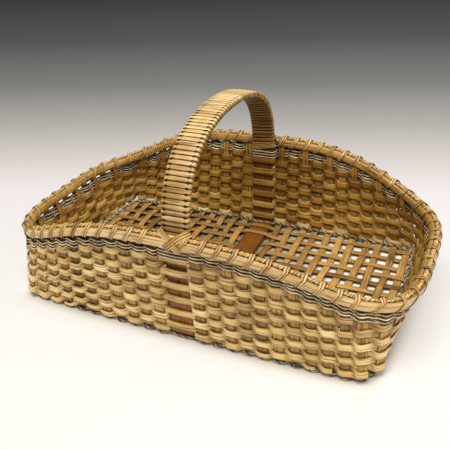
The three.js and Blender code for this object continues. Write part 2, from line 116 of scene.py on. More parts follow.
def rim_plan(share, square):
    """Point of a quarter of the rim, from the middle of a side to the middle of an end."""
    t = np.linspace(0, np.pi / 2, 401)
    x = RIM_X * np.sin(t) ** (2 / square)
    y = RIM_Y * np.clip(np.cos(t), 0, 1) ** (2 / square)
    run = np.r_[0, np.cumsum(np.hypot(np.diff(x), np.diff(y)))]
    return np.interp(share * run[-1], run, x), np.interp(share * run[-1], run, y)


def wall_places():
    """Foot and rim point of each stake, walked round from the front leg."""
    feet = [(0, -base_side(0), "leg")]
    feet += [(x, -base_side(x), "cross") for x in CROSS_X]
    feet += [(BASE_X, -y, "long") for y in LONG_Y]
    feet += [(x, base_side(x), "cross") for x in CROSS_X[::-1]]
    feet += [(0, base_side(0), "leg")]
    feet += [(-x, base_side(x), "cross") for x in CROSS_X]
    feet += [(-BASE_X, y, "long") for y in LONG_Y]
    feet += [(-x, -base_side(x), "cross") for x in CROSS_X[::-1]]
    foot, top, kind = [], [], []
    for x, y, what in feet:
        run = BASE_X + BASE_Y - abs(y) if what == "long" else abs(x)
        # the corner at the back right is pulled a little rounder than the others
        rx, ry = rim_plan(run / (BASE_X + BASE_Y), ROUNDER if x > 0 and y > 0 else SQUARE)
        rx, ry = math.copysign(rx, x) if x else 0.0, math.copysign(ry, y)
        foot.append((x, y, Z_BASE))
        top.append((rx, ry, float(rim_height(rx))))
        kind.append(what)
    return np.array(foot), np.array(top), kind


FOOT, TOP, KIND = wall_places()
LEVEL = (FOOT + 0.6 * (TOP - FOOT)) * [1, 1, 0]
ALONG = unit(np.roll(LEVEL, -1, 0) - np.roll(LEVEL, 1, 0))
OUT = unit(np.cross(ALONG, unit(TOP - FOOT)))
UP = np.cross(OUT, ALONG)
PITCH = PITCH_LOW + (PITCH_HIGH - PITCH_LOW) * (TOP[:, 2] - RIM_LOW) / (RIM_HIGH - RIM_LOW)


def is_tight(p):
    """Places beside a leg or on a corner, where a weaver lies flat across the stake."""
    turn = ALONG[(p - 1) % PLACES] @ ALONG[(p + 1) % PLACES]
    return turn < math.cos(0.13) or "leg" in (KIND[(p - 1) % PLACES], KIND[(p + 1) % PLACES])


def wall_point(p, z):
    p %= PLACES
    return FOOT[p] + (TOP[p] - FOOT[p]) * (z - Z_BASE) / (TOP[p][2] - Z_BASE)


def row_height(p, row):
    p %= PLACES
    return TOP[p][2] - TOP_ROW - row * PITCH[p]


def leg_span(z):
    span = HOOP_FOOT + (HOOP_RIM - HOOP_FOOT) * (z - Z_BASE) / (HOOP_SPRING - Z_BASE)
    below = Z_BASE + HOOP_BEND - z
    if below > 0:
        span -= HOOP_BEND - math.sqrt(max(HOOP_BEND**2 - below**2, 0))
    return span


def smooth(points, steps, closed=False):
    """Rows of numbers along a path, filled in by a curve through every row; the first three are the place."""
    p = np.asarray(points, float)
    if closed:
        p = np.vstack([p[-2:], p, p[:3]])
    else:
        p = np.vstack([2 * p[0] - p[1], p, 2 * p[-1] - p[-2]])
    gap = np.sqrt(np.maximum(np.linalg.norm(np.diff(p[:, :3], axis=0), axis=1), 1e-6))
    t = np.r_[0, np.cumsum(gap)]
    slope = (p[2:] - p[:-2]) / (t[2:] - t[:-2])[:, None]
    first, last = (2, len(p) - 3) if closed else (1, len(p) - 2)
    made = []
    for i in range(first, last):
        u = np.linspace(0, 1, steps, endpoint=False)[:, None]
        h = t[i + 1] - t[i]
        made.append(
            (2 * u**3 - 3 * u**2 + 1) * p[i]
            + (u**3 - 2 * u**2 + u) * h * slope[i - 1]
            + (3 * u**2 - 2 * u**3) * p[i + 1]
            + (u**3 - u**2) * h * slope[i]
        )
    if not closed:
        made.append(p[last][None])
    return np.vstack(made)


def oval(count, square=2.0, flat_back=0.0):
    """Unit section of a strip: an oval, squarer with a higher power, its back face flattened."""
    t = np.arange(count) * 2 * np.pi / count
    a = np.sign(np.cos(t)) * np.abs(np.cos(t)) ** (2 / square)
    b = np.sign(np.sin(t)) * np.abs(np.sin(t)) ** (2 / square)
    b = np.where(b < 0, b * (1 - flat_back), b)
    return np.c_[a, b]


ROUND = oval(10)
FLAT = oval(16, 5.0)
FLAT_OVAL = oval(16, 2.6, 0.2)
HALF_ROUND = oval(24, 2.5, 0.45)
CANE = oval(12, 2.8, 0.3)
PLANK = oval(24, 9.0)


def by_hand(place):
    """Moves points from the even form: the feet of the handle stand askew, the foot of the left
    end lies further out and the foot of the back wall further in."""
    x, y, z = place.T
    drawn = np.minimum(np.abs(y / HOOP_FOOT) ** 4, 1) * np.clip(1 - (x / RIM_X) ** 2, 0, 1)
    left = np.clip(-x / BASE_X, 0, 1) ** 2 * np.clip(1 - z / RIM_LOW, 0, 1)
    back = np.clip(y / BASE_Y, 0, 1) ** 2 * np.clip(1 - z / RIM_HIGH, 0, 1)
    return np.c_[x - SKEW * np.sign(y) * drawn - LEFT_OUT * left, y - BACK_IN * back, z]


def row(at, side, width, thick, tone=0.0):
    """One station of a strip: place, direction of its width, half sizes, tone."""
    return [*at, *side, width / 2, thick / 2, tone]


def attribute(mesh, name, values):
    """A number at each point of the mesh, read by the materials."""
    made = mesh.attributes.new(name, "FLOAT", "POINT")
    made.data.foreach_set("value", np.ravel(values).astype(np.float32))


def strip(name, path, section, closed=False):
    """A reed laid along the stations of path. A flat grid is bent round the section and
    along the path, then its seam is merged and its ends filled."""
    path = np.asarray(path, float)
    at, side = path[:, :3], unit(path[:, 3:6])
    if closed:
        tangent = unit(np.roll(at, -1, 0) - np.roll(at, 1, 0))
    else:
        tangent = unit(np.gradient(at, axis=0))
    face = unit(np.cross(tangent, side))
    if closed:
        at, side, face, path = (np.vstack([m, m[:1]]) for m in (at, side, face, path))
    wide, deep, tone = path[:, 6:9].T
    stations = len(at)
    ring = np.vstack([section, section[:1]])
    around = len(ring)
    bpy.ops.object.select_all(action="DESELECT")
    bpy.ops.mesh.primitive_grid_add(
        x_subdivisions=around - 1, y_subdivisions=stations - 1, size=1, enter_editmode=False
    )
    made = bpy.context.object
    made.name = name
    mesh = made.data
    mesh.name = name
    sideways = wide[:, None, None] * ring[None, :, 0, None] * side[:, None, :]
    through = deep[:, None, None] * ring[None, :, 1, None] * face[:, None, :]
    place = (at[:, None, :] + sideways + through).reshape(-1, 3)
    mesh.vertices.foreach_set("co", (by_hand(place) * MM).ravel())
    # length along and round the strip, in metres, for the grain
    run = run_along(at) * MM
    turn = run_along(ring * [wide.mean(), deep.mean()]) * MM
    loops = np.zeros(len(mesh.loops), np.int32)
    mesh.loops.foreach_get("vertex_index", loops)
    offset = random.Random(name).random()
    uv = np.c_[run[loops // around] + offset, turn[loops % around] + offset]
    mesh.uv_layers.active.data.foreach_set("uv", uv.ravel().astype(np.float32))
    # tone of each station: the reed's own tone, with the painted light and shade that the paths add
    attribute(mesh, "tone", np.repeat(tone, around))
    # how far a point looks into the basket, above the base and below the arch of the handle;
    # the materials tint these points darker as painted shade
    away = unit(at * [1 / RIM_X**2, 1 / RIM_Y**2, 0] + 1e-9)
    facing = (face * away).sum(1)[:, None] * np.sign(ring[None, :, 1]) * np.abs(ring[None, :, 1]) ** 0.5
    rise = np.clip((at[:, 2] - 7) / 8, 0, 1) * np.clip((150 - at[:, 2]) / 20, 0, 1)
    attribute(mesh, "inner", np.clip(0.5 - 0.7 * facing, 0, 1) * rise[:, None])
    # how near a point is to the edge of the strip, where the materials paint shade
    attribute(mesh, "edge", np.tile(np.abs(ring[:, 0]), stations))
    mesh.update()
    bpy.ops.object.mode_set(mode="EDIT")
    bpy.ops.mesh.select_all(action="SELECT")
    bpy.ops.mesh.remove_doubles(threshold=1e-7)
    bpy.ops.mesh.fill_holes(sides=0)
    bpy.ops.mesh.select_all(action="SELECT")
    bpy.ops.mesh.normals_make_consistent(inside=False)
    bpy.ops.object.mode_set(mode="OBJECT")
    return made


def join(name, made):
    """Several strips as one piece."""
    bpy.ops.object.select_all(action="DESELECT")
    for o in made:
        o.select_set(True)
    bpy.context.view_layer.objects.active = made[0]
    if len(made) > 1:
        bpy.ops.object.join()
    made[0].name = name
    made[0].data.name = name
    return made[0]


def settle(piece, slot, *nodes, angle=50):
    """Smooths a finished piece and ties it to the frame."""
    bpy.ops.object.select_all(action="DESELECT")
    piece.select_set(True)
    bpy.context.view_layer.objects.active = piece
    bpy.ops.object.shade_smooth_by_angle(angle=math.radians(angle))
    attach(piece, "root")
    if nodes:
        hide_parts(*nodes)


# Materials


def linear(code):
    """sRGB hex to linear RGBA."""
    made = []
    for i in (1, 3, 5):
        c = int(code[i : i + 2], 16) / 255
        made.append(c / 12.92 if c <= 0.04045 else ((c + 0.055) / 1.055) ** 2.4)
    return (*made, 1.0)


def blank(name):
    """A new material and its empty node tree."""
    material = bpy.data.materials.new(name)
    material.use_nodes = True
    material.node_tree.nodes.clear()
    return material, material.node_tree


def add(tree, kind, inputs=(), **settings):
    """Adds a node with its settings; inputs gives its sockets a link or a value."""
    node = tree.nodes.new(kind)
    for key, value in settings.items():
        setattr(node, key, value)
    for key, value in dict(inputs).items():
        if isinstance(value, bpy.types.NodeSocket):
            tree.links.new(value, node.inputs[key])
        else:
            node.inputs[key].default_value = value
    return node


def calc(tree, operation, *terms, clamp=False):
    """A math node; its terms are sockets or numbers."""
    inputs = dict(enumerate(terms))
    return add(tree, "ShaderNodeMath", inputs, operation=operation, use_clamp=clamp).outputs[0]


def between(tree, value, low, high, to_low=0.0, to_high=1.0, kind="LINEAR"):
    """Maps value from low and high to to_low and to_high."""
    inputs = {"Value": value, "From Min": low, "From Max": high, "To Min": to_low, "To Max": to_high}
    return add(tree, "ShaderNodeMapRange", inputs, interpolation_type=kind).outputs[0]


def noise(tree, vector, scale=1.0, detail=2.0, rough=0.5):
    inputs = {"Vector": vector, "Scale": scale, "Detail": detail, "Roughness": rough}
    return add(tree, "ShaderNodeTexNoise", inputs).outputs["Fac"]


def grain(tree, uv, along, across, **settings):
    """Noise drawn out along the reed: its waves to a metre along and across."""
    drawn = add(tree, "ShaderNodeMapping", {"Vector": uv, "Scale": (along, across, 1)})
    return noise(tree, drawn.outputs["Vector"], **settings)


def read(tree, name):
    return add(tree, "ShaderNodeAttribute", attribute_name=name).outputs["Fac"]


def mix(tree, blend, factor, a, b):
    """A colour mix node; factor, a and b are sockets or values."""
    inputs = {0: factor, 6: a, 7: b}
    return add(tree, "ShaderNodeMix", inputs, data_type="RGBA", blend_type=blend).outputs[2]


def ramp(tree, factor, *stops):
    """A colour ramp; its stops are a place and a hex code or linear colour."""
    node = add(tree, "ShaderNodeValToRGB", {"Fac": factor})
    bar = node.color_ramp
    while len(bar.elements) < len(stops):
        bar.elements.new(1.0)
    for element, (place, code) in zip(bar.elements, stops):
        element.position = place
        element.color = linear(code) if isinstance(code, str) else code
    return node.outputs["Color"]


def skin(tree, colour, height, relief, rough, sheen):
    """The surface of a reed: its colour, and its grain as relief in millimetres."""
    bump = add(tree, "ShaderNodeBump", {"Height": height, "Strength": 0.8, "Distance": relief * MM})
    inputs = {"Base Color": colour, "Normal": bump.outputs["Normal"], "Roughness": rough}
    shader = add(tree, "ShaderNodeBsdfPrincipled", {**inputs, "Specular IOR Level": sheen})
    add(tree, "ShaderNodeOutputMaterial", {"Surface": shader.outputs["BSDF"]})


def grained(
    name, dark, middle, light, line, inner=None,
    fibre=0.55, spread=0.45, lines=0.65, rim=0.5, border=0.7, relief=0.25, rough=0.55, sheen=0.3,
):
    """Split plant stem: long fibres, blotches, a tone for each stretch that also carries painted light and
    shade.
    dark, middle, light and line are the colours from shade fibre to bleached fibre and groove,
    inner a tint of painted shade for the inside of the basket. fibre is a fibre's width in millimetres, spread
    the contrast of the fibres, lines that of the grooves, rim the strength of the painted shade at the edges
    from border on."""
    material, tree = blank(name)
    uv = add(tree, "ShaderNodeUVMap").outputs["UV"]
    # fibres about half a millimetre wide and several centimetres long
    fibres = grain(tree, uv, 40, 1 / (fibre * MM), detail=4.0, rough=0.6)
    # deeper grooves two or three millimetres apart
    grooves = grain(tree, uv, 16, 480)
    # stains a few centimetres across
    blotch = noise(tree, add(tree, "ShaderNodeTexCoord").outputs["Object"], 38.0, 3.0)
    fine = calc(tree, "MULTIPLY_ADD", fibres, spread * 2, 0.5 - spread)
    stain = calc(tree, "MULTIPLY_ADD", blotch, 0.6, -0.3)
    tone = calc(tree, "ADD", calc(tree, "ADD", fine, stain), read(tree, "tone"), clamp=True)
    colour = ramp(tree, tone, (0.05, dark), (0.5, middle), (0.95, light))
    groove = between(tree, grooves, 0.36, 0.48, lines, 0.0)
    colour = mix(tree, "MIX", groove, colour, linear(line))
    # painted shade: points that look into the basket are tinted darker
    if inner:
        colour = mix(tree, "MULTIPLY", read(tree, "inner"), colour, linear(inner))
    # painted shade: darker toward the edges of the strip
    shade = between(tree, read(tree, "edge"), border, 1.0, 0.0, rim, "SMOOTHSTEP")
    colour = mix(tree, "MULTIPLY", shade, colour, linear(line))
    skin(tree, colour, calc(tree, "ADD", fibres, grooves), relief, rough, sheen)
    return material


def plied(name, dark, pale, turn, share, girth=7.0):
    """Two plies twisted into one strand: a dark and a pale stripe that wind along it.
    turn is the run of one twist in millimetres, share the part of the girth that is pale."""
    material, tree = blank(name)
    uv = add(tree, "ShaderNodeUVMap").outputs["UV"]
    split = add(tree, "ShaderNodeSeparateXYZ", {"Vector": uv})
    along = calc(tree, "MULTIPLY", split.outputs["X"], 1 / (turn * MM))
    wound = calc(tree, "MULTIPLY_ADD", split.outputs["Y"], 2 / (girth * MM), along)
    # the fibres leave the edge of the stripe ragged
    fibres = grain(tree, uv, 160, 1800, detail=3.0)
    part = calc(tree, "FRACT", calc(tree, "MULTIPLY_ADD", fibres, 0.25, wound))
    stripe = between(tree, part, share - 0.05, share + 0.05, kind="SMOOTHSTEP")
    light = ramp(tree, fibres, (0.3, pale[0]), (0.55, pale[1]), (0.75, pale[2]))
    deep = ramp(tree, fibres, (0.3, dark[0]), (0.75, dark[1]))
    skin(tree, mix(tree, "MIX", stripe, light, deep), fibres, relief=0.2, rough=0.7, sheen=0.2)
    return material


def materials(chosen):
    """The materials of the basket. Each has shade, middle, bleached and groove colours, the middle
    one chosen in the sidebar."""
    made = {}
    # inner tints the inside of the basket darker, as painted shade
    # upright strips: warm tan with plain lengthwise lines
    colours = "#6f5020", chosen.stake, "#dab26b", "#38220a"
    made["stake"] = grained("split_flat_reed", *colours, inner="#dcd29a", lines=0.6)
    # weavers: paler, with a soft shine on the rounded back
    colours = "#86622a", chosen.weaver, "#ecd296", "#4e320e"
    made["weaver"] = grained(
        "split_flat_oval_reed", *colours, inner="#d2bc7c", rough=0.42, sheen=0.4, spread=0.62, lines=0.78
    )
    # rim: pale, long straight grooves
    colours = "#855e26", chosen.rim, "#f6e2ae", "#452b0b"
    polish = {"relief": 0.5, "rough": 0.38, "sheen": 0.5}
    made["rim"] = grained(
        "half_round_rim_reed", *colours, inner="#dac692", rim=0.35, lines=0.68, spread=0.7, **polish
    )
    # lashing: smooth skin of the vine, with painted shade dark along its edges
    colours = "#7c5723", chosen.cane, "#dcbb7c", "#4e310f"
    made["cane"] = grained("binding_cane", *colours, fibre=0.8, relief=0.1, rough=0.45, rim=0.95, border=0.5)
    # grip: the same vine in flat lengths, rubbed by the hand, with painted shade at its edges and inside
    colours = "#724f1b", chosen.grip, "#d6b87e", "#3f2607"
    polish = {"relief": 0.1, "rough": 0.4, "sheen": 0.4}
    made["grip"] = grained(
        "flat_cane_grip", *colours, inner="#fae6a0", fibre=0.8, rim=0.7, border=0.66, **polish
    )
    # hoop: brown wood under the wrap, with a low shine
    colours = "#532d08", chosen.wood, "#9c6120", "#391c06"
    made["wood"] = grained("oiled_hoop_wood", *colours, fibre=0.7, rough=0.45)
    # twining: dull grass plies, nearly black and cream in the band, greyer at the base
    for key, name, rough, rim, *colours in (
        ("dark_grass", "dark_dyed_grass", 0.7, 0.2, "#20150a", chosen.dark_grass, "#755c31", "#0c0703"),
        ("pale_grass", "pale_grass", 0.65, 0.5, "#94774a", chosen.pale_grass, "#f6e8c6", "#5c4624"),
        ("base_dark", "dark_base_grass", 0.7, 0.3, "#2c2113", chosen.base_dark, "#86714c", "#1c130a"),
        ("base_pale", "pale_base_grass", 0.7, 0.5, "#7b6238", chosen.base_pale, "#d8c597", "#4c3a1c"),
    ):
        made[key] = grained(name, *colours, fibre=0.4, rough=rough, rim=rim)
    # filler on top of the rim: grass cord, a brown and a straw stripe wound round each other
    brown, straw = ("#3f2911", "#6e4d24"), ("#8a6530", "#c8a262", "#ead097")
    made["grass"] = plied("two_ply_rim_cord", brown, straw, turn=8.0, share=0.78)
    return made


# Properties


Length = partial(bpy.props.FloatProperty, unit="LENGTH", min=0.0)
Colour = partial(bpy.props.FloatVectorProperty, subtype="COLOR", size=4, min=0.0, max=1.0)


class BasketSizes(bpy.types.PropertyGroup):
    stake_width: Length(name="Stake width", description="Width of the flat reed stakes", default=0.0086)
    stake_thick: Length(name="Stake thickness", description="Thickness of the stakes", default=0.0011)
    weaver_thick: Length(name="Weaver thickness", description="Thickness of the weavers", default=0.0025)
    weaver_bulge: Length(
        name="Weaver bulge", description="How far a weaver stands off the wall line", default=0.0021
    )
    weaver_fill: bpy.props.FloatProperty(
        name="Weaver fill", description="Weaver width as a share of the row pitch", default=1.04, soft_max=1.2
    )
    strand: Length(name="Twining ply", description="Diameter of a ply of the twining", default=0.0018)
    rim_height: Length(name="Rim height", description="Height of the rim strips", default=0.0102)
    rim_thick: Length(name="Rim thickness", description="Thickness of the rim strips", default=0.0052)
    lash_width: Length(name="Lashing width", description="Width of one lashing cane", default=0.0027)
    hoop_width: Length(name="Hoop width", description="Width of the handle hoop", default=0.0275)
    hoop_thick: Length(name="Hoop thickness", description="Thickness of the hoop", default=0.005)
    wraps: bpy.props.IntProperty(name="Grip turns", description="Turns of cane round the grip", default=70)
    variation: bpy.props.FloatProperty(
        name="Tone variation", description="How much the reeds differ in tone", default=0.11, subtype="FACTOR"
    )


class BasketColours(bpy.types.PropertyGroup):
    stake: Colour(name="Stakes", description="Middle colour of the stakes", default=linear("#b48743"))
    weaver: Colour(name="Weavers", description="Middle colour of the weavers", default=linear("#c7a25a"))
    rim: Colour(name="Rim", description="Middle colour of the rim strips", default=linear("#cda766"))
    cane: Colour(name="Lashing", description="Middle colour of the cane", default=linear("#b88f4e"))
    grip: Colour(name="Grip", description="Middle colour of the grip wrap", default=linear("#a27c42"))
    wood: Colour(name="Hoop", description="Middle colour of the hoop", default=linear("#7f4b12"))
    dark_grass: Colour(name="Dark ply", description="Dark ply of the band", default=linear("#44311a"))
    pale_grass: Colour(name="Pale ply", description="Pale ply of the band", default=linear("#d6bf90"))
    base_dark: Colour(name="Dark base ply", description="Dark ply at the base", default=linear("#5c4a2f"))
    base_pale: Colour(name="Pale base ply", description="Pale ply at the base", default=linear("#b39a69"))


LOOKS = {}


def paint(piece, name):
    """Gives a piece its material; all are made on first use, in the colours of the sidebar."""
    if not LOOKS:
        LOOKS.update(materials(bpy.context.scene.basket_colours))
    piece.data.materials.append(LOOKS[name])


# Stakes


def stake_wall(p, chance):
    """Places of a stake in the wall, from the base up."""
    z = np.arange(Z_BASE + BEND + 1.0, TOP[p][2] - 0.4, 2.0)
    z = np.r_[z, TOP[p][2] - 0.5]
    lean = chance.uniform(-0.5, 0.5)
    made = []
    for h in z:
        phase = (TOP[p][2] - TOP_ROW - h) / PITCH[p]
        wave = -0.35 * math.cos(math.pi * (phase + p)) if phase > -0.5 else 0.0
        made.append(wall_point(p, h) + OUT[p] * wave + ALONG[p] * lean * (h / TOP[p][2]))
    return made


def stake_bend(p, across):
    """Places and sides of a stake where it turns out of the wall into the base."""
    inward = unit(-FOOT[p] * np.abs(np.cross(across, [0, 0, 1])))
    made = []
    for k in (0.15, 0.5, 0.85):
        t = k * math.pi / 2
        at = FOOT[p] + inward * BEND * (1 - math.cos(t)) + np.array([0, 0, BEND * (1 - math.sin(t))])
        made.append((at, unit(ALONG[p] * np.sign(ALONG[p] @ across) * (1 - k) + np.asarray(across) * k)))
    return made


def spread_at(p, z):
    """Distance between the stakes either side of place p, halved."""
    return np.linalg.norm(wall_point(p + 1, z) - wall_point(p - 1, z)) / 2


def stake_path(first, last, base, across, sizes, chance):
    """Stations of a whole stake: wall, base and wall again."""
    width = sizes.stake_width / MM * chance.uniform(0.95, 1.03)
    thick = sizes.stake_thick / MM
    tone = chance.gauss(0, sizes.variation * 1.2)
    made = []

    def put(at, side, wide=width, shift=-0.1):
        side = np.asarray(side) * np.sign(np.dot(side, across))
        made.append(row(at, side, wide, thick, tone + shift + chance.gauss(0, 0.03)))

    def put_wall(p, step):
        for at in stake_wall(p, chance)[::step]:
            put(at, ALONG[p], min(max(WALL_SHARE * spread_at(p, at[2]), width), WIDEST), -0.12)

    put_wall(first, -1)
    for at, side in stake_bend(first, across):
        put(at, side)
    for at in base:
        # painted shade: darker toward the left of the base, under the handle
        put(at, across, shift=-0.1 - 0.2 * np.clip((60 - at[0]) / 120, 0, 1))
    for at, side in stake_bend(last, across)[::-1]:
        put(at, side)
    put_wall(last, 1)
    return made


def tail_path(p, sizes, chance):
    """Folded end of a stake, laid over the twined band inside and tucked under a weaver."""
    width = sizes.stake_width / MM * 0.96
    tone = chance.gauss(0.02, sizes.variation)
    # how far under the rim line and how far inside the wall
    fold = (1.0, 0.9), (6.5, 2.0), (9.0, 3.3), (14.5, 3.6), (19.5, 3.3), (23.5, 2.2), (29.0, 1.5), (33.0, 1.3)
    made = []
    for below, off in fold:
        at = wall_point(p, TOP[p][2] - below) - OUT[p] * off
        made.append(row(at, ALONG[p], width, sizes.stake_thick / MM * 0.9, tone))
    return made


def lay_stake(name, base, first, last, across, sizes, chance):
    """A stake as one piece; every second end is folded down inside the wall."""
    stations = stake_path(first, last, base, across, sizes, chance)
    made = [strip(name, smooth(stations, 2), FLAT)]
    for p in (first, last):
        if p % 2 == 0:
            made.append(strip(f"{name}_tail", smooth(tail_path(p, sizes, chance), 5), FLAT))
    piece = join(name, made)
    paint(piece, "stake")
    settle(piece, "flat_reed", name)


def over(r, c):
    """True where cross piece c lies over long stake r in the twill."""
    return (r + c) % 4 in (3, 0)


def cross_place(c):
    """Cross piece c counted out from the hoop, and where it crosses the base."""
    order = CROSSES - c if c <= CROSSES else c - CROSSES - 2
    return order, CROSS_X[order] * (1 if c <= CROSSES else -1)


class BASKET_OT_cross_stakes(bpy.types.Operator):
    """Lays the cross stakes through the base and up both long walls"""

    bl_idname = "basket.cross_stakes"
    bl_label = "Cross stakes"

    def execute(self, context):
        sizes = context.scene.basket_sizes
        for c in range(1, 2 * CROSSES + 2):
            if c == CROSSES + 1:
                continue
            chance = random.Random(100 + c)
            right = c <= CROSSES
            order, x = cross_place(c)
            first = order + 1 if right else PLACES - 1 - order
            last = BACK_LEG - 1 - order if right else BACK_LEG + 1 + order
            end = base_side(x) - BEND - 0.5
            knots = [(-end, Z_BASE)]
            for r in range(LONGS, 0, -1):
                knots.append((LONG_Y[r - 1], Z_BASE + (CROSS_LIFT if over(r, c) else -CROSS_LIFT)))
            knots.append((end, Z_BASE))
            drift, phase = chance.uniform(-1.6, 1.6), chance.uniform(0, 6)
            path = [(x + drift * math.sin(2.6 * y / BASE_Y + phase), y, z) for y, z in knots]
            name = f"cross_stake_{c if right else c - 1:02d}"
            lay_stake(name, smooth(path, 6), first, last, (1, 0, 0), sizes, chance)
        return {"FINISHED"}


class BASKET_OT_long_stakes(bpy.types.Operator):
    """Lays the long stakes through the base and up both ends"""

    bl_idname = "basket.long_stakes"
    bl_label = "Long stakes"

    def execute(self, context):
        sizes = context.scene.basket_sizes
        for r in range(1, LONGS + 1):
            chance = random.Random(200 + r)
            y = LONG_Y[r - 1]
            first = BACK_LEG + CROSSES + r
            last = CROSSES + LONGS + 1 - r
            end = BASE_X - BEND - 0.5
            knots = [(-end, Z_BASE)]
            for c in range(2 * CROSSES + 1, 0, -1):
                if c == CROSSES + 1:
                    z = BAR_CLEAR if over(r, c) else 2 * Z_BASE - BAR_CLEAR
                    knots += [(-BAR_EDGE, z), (BAR_EDGE, z)]
                else:
                    knots.append((cross_place(c)[1], Z_BASE + (-LONG_LIFT if over(r, c) else LONG_LIFT)))
            knots.append((end, Z_BASE))
            drift, phase = chance.uniform(-2.2, 2.2), chance.uniform(0, 6)
            path = [(x, y + drift * math.sin(3.2 * x / BASE_X + phase), z) for x, z in knots]
            lay_stake(f"long_stake_{r:02d}", smooth(path, 4), first, last, (0, 1, 0), sizes, chance)
        return {"FINISHED"}


# Weavers


def weaver_path(line, first, last, sizes, chance):
    """Stations of a weaver row: out over one stake, in behind the next."""
    thick = sizes.weaver_thick / MM
    bulge = sizes.weaver_bulge / MM
    made = []
    base_tone = chance.gauss(0, sizes.variation * 0.6)
    drift = 0.0

    def height(q, fill):
        """Middle and width of the row at place q, squeezed against the base."""
        z, half = row_height(q, line), PITCH[q % PLACES] * fill / 2
        upper, lower = z + half, max(z - half, ROW_FLOOR)
        return (upper + lower) / 2, upper - lower

    for p in range(first, last + 1):
        q, ahead = p % PLACES, (p + 1) % PLACES
        side = 1 if (q + line) % 2 == 0 else -1
        z, width = height(q, sizes.weaver_fill * chance.uniform(0.96, 1.04))
        z += chance.gauss(0, 0.15)
        drift = 0.6 * drift + chance.gauss(0, sizes.variation * 0.5)
        # the height tone, with its painted light and shade, is strongest on the back wall
        strength = 1.0 if abs(q - BACK_LEG) < 13 else 0.3
        tone = base_tone + drift + np.interp(z, TONE_HEIGHTS, TONE_THERE) * strength
        # painted light: paler round the left front corner
        if FOOT[q][1] < 0 or FOOT[q][0] < -CROSS_LAST:
            tone += 0.12 * np.clip(-FOOT[q][0] / 100, 0, 1)
        if KIND[q] == "leg":
            sign = math.copysign(1, FOOT[q][1])
            flush = abs(wall_point(q, z)[1]) - 2.6
            edge = sizes.hoop_width / MM / 2 - 0.4
            reach = max(leg_span(z) + LEG_CLEAR, flush) if side > 0 else leg_span(z) - LEG_CLEAR
            for x, off in ((-edge, 0.0), (0.0, 0.9), (edge, 0.0)):
                at = (-sign * x, sign * (reach + side * off), z)
                made.append(row(at, (0, 0, 1), width * 0.97, thick, tone))
            z, width = height(ahead, BROADER_AT_LEG)
            made.append(row(wall_point(ahead, z) - ALONG[ahead] * BESIDE_LEG, UP[ahead], width, thick, tone))
            continue
        tight = is_tight(q)
        lift = bulge * (0.8 if tight else chance.uniform(0.92, 1.1))
        run = ON_TIGHT if tight else ON_STAKE
        for e in (-run, run):
            at = wall_point(q, z) + ALONG[q] * e + OUT[q] * side * lift
            made.append(row(at, UP[q], width, thick, tone))
        # broader where it crosses its neighbours between two stakes
        if p < last and KIND[ahead] == "leg":
            z, width = height(q, BROADER_AT_LEG)
            made.append(row(wall_point(q, z) + ALONG[q] * BESIDE_LEG, UP[q], width, thick, tone))
        elif p < last:
            z, width = ((a + b) / 2 for a, b in zip(height(q, BROADER), height(ahead, BROADER)))
            at = (wall_point(q, z) + wall_point(ahead, z)) / 2
            # painted shade: the weaver is darker where it crosses between two stakes
            made.append(row(at, unit(UP[q] + UP[ahead]), width, thick, tone + CROSSING_SHADE))
    return made


def weave(name, line, first, last, sizes, chance, closed):
    """A row of weaver as one piece."""
    path = smooth(weaver_path(line, first, last, sizes, chance), 4, closed)
    piece = strip(name, path, FLAT_OVAL, closed)
    paint(piece, "weaver")
    settle(piece, "flat_oval_weaver", name)


class BASKET_OT_full_rows(bpy.types.Operator):
    """Weaves the rows that go right round"""

    bl_idname = "basket.full_rows"
    bl_label = "Full weaver rows"

    def execute(self, context):
        sizes = context.scene.basket_sizes
        for line in range(FULL_ROWS):
            weave(f"weaver_row_{line + 1}", line, 0, PLACES - 1, sizes, random.Random(300 + line), True)
        return {"FINISHED"}


class BASKET_OT_short_rows(bpy.types.Operator):
    """Weaves the short rows under the humps of the long sides"""

    bl_idname = "basket.short_rows"
    bl_label = "Short weaver rows"

    def execute(self, context):
        sizes = context.scene.basket_sizes
        for line in range(FULL_ROWS, FULL_ROWS + SHORT_ROWS):
            reach = 1
            while reach < CROSSES and row_height(reach + 1, line) >= 2.6:
                reach += 1
            for side, middle in (("front", 0), ("back", BACK_LEG)):
                chance = random.Random(400 + 10 * line + middle)
                name = f"short_row_{side}_{line - FULL_ROWS + 1}"
                weave(name, line, middle - reach, middle + reach, sizes, chance, False)
        return {"FINISHED"}


# Twining


def twine_wall(lead, chance):
    """Middle line of one of the two strands of the band: it changes sides between every two stakes."""
    made = []
    for step in range(BAND_TURNS * PLACES + 1):
        q = step % PLACES
        sign = 1 if (step + lead) % 2 == 0 else -1
        below = BAND_TOP + step / PLACES * BAND_PITCH
        tone = chance.gauss(0, 0.12)
        if KIND[q] == "leg":
            way = math.copysign(1, FOOT[q][1])
            z = TOP[q][2] - below
            reach = leg_span(z) + sign * TWINE_CLEAR
            if sign > 0:
                reach = max(reach, abs(wall_point(q, z)[1]) - 0.6)
            for x, off in ((-TWINE_EDGE, 0.4), (0.0, 1.0), (TWINE_EDGE, 0.4)):
                made.append(row((-way * x, way * (reach + sign * off), z), (0, 0, 1), 1.7, 1, tone))
            continue
        centre = wall_point(q, TOP[q][2] - below)
        slant, jog = chance.uniform(0.08, 0.22), chance.gauss(0, 0.2)
        for e, out, apart in ((-4.6, 1.4, 1.15), (0.0, 2.3, 1.9), (4.6, 1.4, 1.15)):
            at = centre + ALONG[q] * e + OUT[q] * sign * out + UP[q] * (jog - slant * e * sign)
            made.append(row(at, UP[q], apart, 1, tone))
    return made


